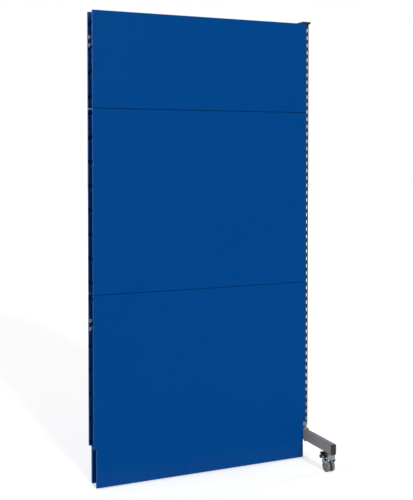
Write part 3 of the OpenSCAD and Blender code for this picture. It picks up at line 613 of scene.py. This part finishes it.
def make_post_welds():
    """Welds of the foot post: its block to its base plate, over the plate and under the block."""
    bm = bmesh.new()
    for side in (-1, 1):
        front = side * BLOCK_HALF_DEPTH
        weld_bead(bm, Vector((FOOT_X - WELD_ACROSS, front, BASE_TOP)),
                  Vector((FOOT_X + WELD_ACROSS, front, BASE_TOP)),
                  Vector((0, side, 0)), Vector((0, 0, 1)))
        flank = FOOT_X + side * PLATE_HALF_WIDTH
        weld_bead(bm, Vector((flank, -WELD_ALONG, BASE_TOP)), Vector((flank, WELD_ALONG, BASE_TOP)),
                  Vector((side, 0, 0)), Vector((0, 0, -1)))
    finished("post_weld_beads", bm, "frame", "grey_powder_coat")


# ---------------------------------------------------------------- wheels

# Half of a tyre's outline as (distance from its middle plane, radius), from the bore to the tread
TYRE_OUTLINE = [(0, 0.01805), (0.0064, 0.01805), (0.0069, 0.0186), (0.0069, 0.0199),
                (0.0066, 0.0202), (0.0066, 0.0206), (0.0069, 0.0209), (0.0070, 0.0213),
                (0.0070, 0.02486), (0.0004, 0.02492), (0.0002, 0.025), (0, 0.025)]
TYRE_SHOULDER = 8       # the outline's point that is rounded
SHOULDER_RADIUS, SHOULDER_STEPS = 0.0034, 6
TYRE_STEPS = 72         # steps of a tyre's turn
AXLE_RADIUS, AXLE_HALF = 0.003, 0.0186
# A push cap's outline as (radius, distance from the axle's middle)
CAP_OUTLINE = [(0, 0.0188), (0.0046, 0.0188), (0.005, 0.0191), (0.005, 0.01945), (0.0045, 0.0196),
               (0.0036, 0.01965), (0.0031, 0.0199), (0.0018, 0.02), (0, 0.02)]


def make_tyre(name, body, node):
    """A grey tyre with rounded shoulders, a groove in each side and the mould's line round it."""
    bm = bmesh.new()
    points = [bm.verts.new((across, 0, radius)) for across, radius in TYRE_OUTLINE]
    for pair in zip(points, points[1:]):
        bm.edges.new(pair)
    bmesh.ops.bevel(bm, geom=[points[TYRE_SHOULDER]], offset=SHOULDER_RADIUS, offset_type="OFFSET",
                    segments=SHOULDER_STEPS, profile=0.5, affect="VERTICES", material=-1)
    bmesh.ops.mirror(bm, geom=bm.verts[:] + bm.edges[:], matrix=Matrix.Identity(4),
                     merge_dist=MERGE, axis="X")
    bmesh.ops.spin(bm, geom=bm.verts[:] + bm.edges[:], cent=(0, 0, 0), axis=(1, 0, 0),
                   dvec=(0, 0, 0), angle=math.tau, steps=TYRE_STEPS, use_merge=True)
    bmesh.ops.translate(bm, vec=middle(node), verts=bm.verts[:])
    finished(name, bm, body, "grey_rubber", node)


def make_axle(name, body, node):
    """A wheel axle with a domed push cap pressed on each end."""
    bm = bmesh.new()
    spun(bm, [(0, -AXLE_HALF), (AXLE_RADIUS, -AXLE_HALF), (AXLE_RADIUS, AXLE_HALF), (0, AXLE_HALF)])
    for side in (-1, 1):
        spun(bm, [(radius, side * height) for radius, height in CAP_OUTLINE])
    bmesh.ops.rotate(bm, cent=(0, 0, 0), matrix=Matrix.Rotation(math.pi / 2, 3, "Y"),
                     verts=bm.verts[:])
    bmesh.ops.translate(bm, vec=middle(node), verts=bm.verts[:])
    finished(name, bm, body, "zinc_plate", node)


make_foot_bolts()
make_foot_nuts()
make_post_welds()
for end in ("front", "rear"):
    make_axle(end + "_capped_axle", end + "_castor", end + "_wheel_axle")
    for hand in ("left", "right"):
        make_tyre(f"{end}_{hand}_moulded_tyre", f"{end}_{hand}_wheel", f"{end}_{hand}_tyre")


# ---------------------------------------------------------------- floor, light and camera

FLOOR_HALF = 30
FLOOR_WHITE = 0.85      # how much light the floor gives back
FLOOR_LIFT = 0.48       # what it adds for the camera, so that it shows white
WORLD_LIGHT = 0.26      # the world's level for all but the camera and reflections
EYE = (-1.58143, -3.5996, 1.37861)
LOOK_DOWN, LOOK_ROUND = 1.5768, 23.9492     # degrees below level and clockwise from +Y
FOCAL_LENGTH, LENS_SHIFT = 65.195, -0.14
# Each lamp's direction from the object, its strength and how many degrees wide it is
LAMPS = {
    "front_light": ((0.04, -1.0, 0.40), 1.84, 10),
    "left_light": ((-1.0, -0.02, 0.30), 1.8, 20),
    "back_light": ((0.1, 1.0, 0.2), 1.3, 20),
    "right_light": ((1.0, 0.1, 0.2), 1.0, 20),
}


def make_floor():
    """A pale floor that shows white away from the object and keeps its shadow."""
    bm = bmesh.new()
    bmesh.ops.create_grid(bm, x_segments=1, y_segments=1, size=FLOOR_HALF)
    mesh = bpy.data.meshes.new("floor")
    bm.to_mesh(mesh)
    bm.free()
    floor = bpy.data.objects.new("floor", mesh)
    bpy.context.scene.collection.objects.link(floor)
    made, tree, bsdf = new_finish("floor_white")
    bsdf.inputs["Base Color"].default_value = (FLOOR_WHITE, FLOOR_WHITE, FLOOR_WHITE, 1)
    bsdf.inputs["Roughness"].default_value = 0.9
    bsdf.inputs["Specular IOR Level"].default_value = 0.0
    ray = tree.nodes.new("ShaderNodeLightPath").outputs["Is Camera Ray"]
    feed(tree, bsdf.inputs["Emission Strength"], maths(tree, "MULTIPLY", ray, FLOOR_LIFT))
    bsdf.inputs["Emission Color"].default_value = (1, 1, 1, 1)
    mesh.materials.append(made)


def make_world():
    """White for the camera and for reflections, and a plain level of light for the rest."""
    world = bpy.data.worlds.new("studio")
    bpy.context.scene.world = world
    world.use_nodes = True
    tree = world.node_tree
    back = tree.nodes["Background"]
    back.inputs["Color"].default_value = (1, 1, 1, 1)
    ray = tree.nodes.new("ShaderNodeLightPath").outputs
    shown = maths(tree, "MAXIMUM", ray["Is Camera Ray"],
                  maths(tree, "MAXIMUM", ray["Is Glossy Ray"], ray["Is Transmission Ray"]))
    level = add(tree, "ShaderNodeMapRange", Value=shown, To_Min=WORLD_LIGHT, To_Max=1.0)
    feed(tree, back.inputs["Strength"], level.outputs[0])


def make_sun(name, towards, strength, softness):
    """A soft distant lamp that shines from the given direction."""
    lamp = bpy.data.lights.new(name, "SUN")
    lamp.energy = strength
    lamp.angle = math.radians(softness)
    holder = bpy.data.objects.new(name, lamp)
    holder.rotation_euler = Vector(towards).to_track_quat("Z", "Y").to_euler()
    bpy.context.scene.collection.objects.link(holder)


def make_camera():
    """A camera where the photograph was taken. The photograph's verticals are upright, so it looks
    almost level and its lens is shifted."""
    lens = bpy.data.cameras.new("camera")
    lens.sensor_width = 36
    lens.lens = FOCAL_LENGTH
    lens.shift_y = LENS_SHIFT
    lens.clip_end = 100
    camera = bpy.data.objects.new("camera", lens)
    camera.location = EYE
    camera.rotation_euler = (math.radians(90 - LOOK_DOWN), 0, math.radians(-LOOK_ROUND))
    bpy.context.scene.collection.objects.link(camera)
    bpy.context.scene.camera = camera
    bpy.context.scene.view_settings.view_transform = "Standard"


make_floor()
make_world()
for lamp_name, values in LAMPS.items():
    make_sun(lamp_name, *values)
make_camera()
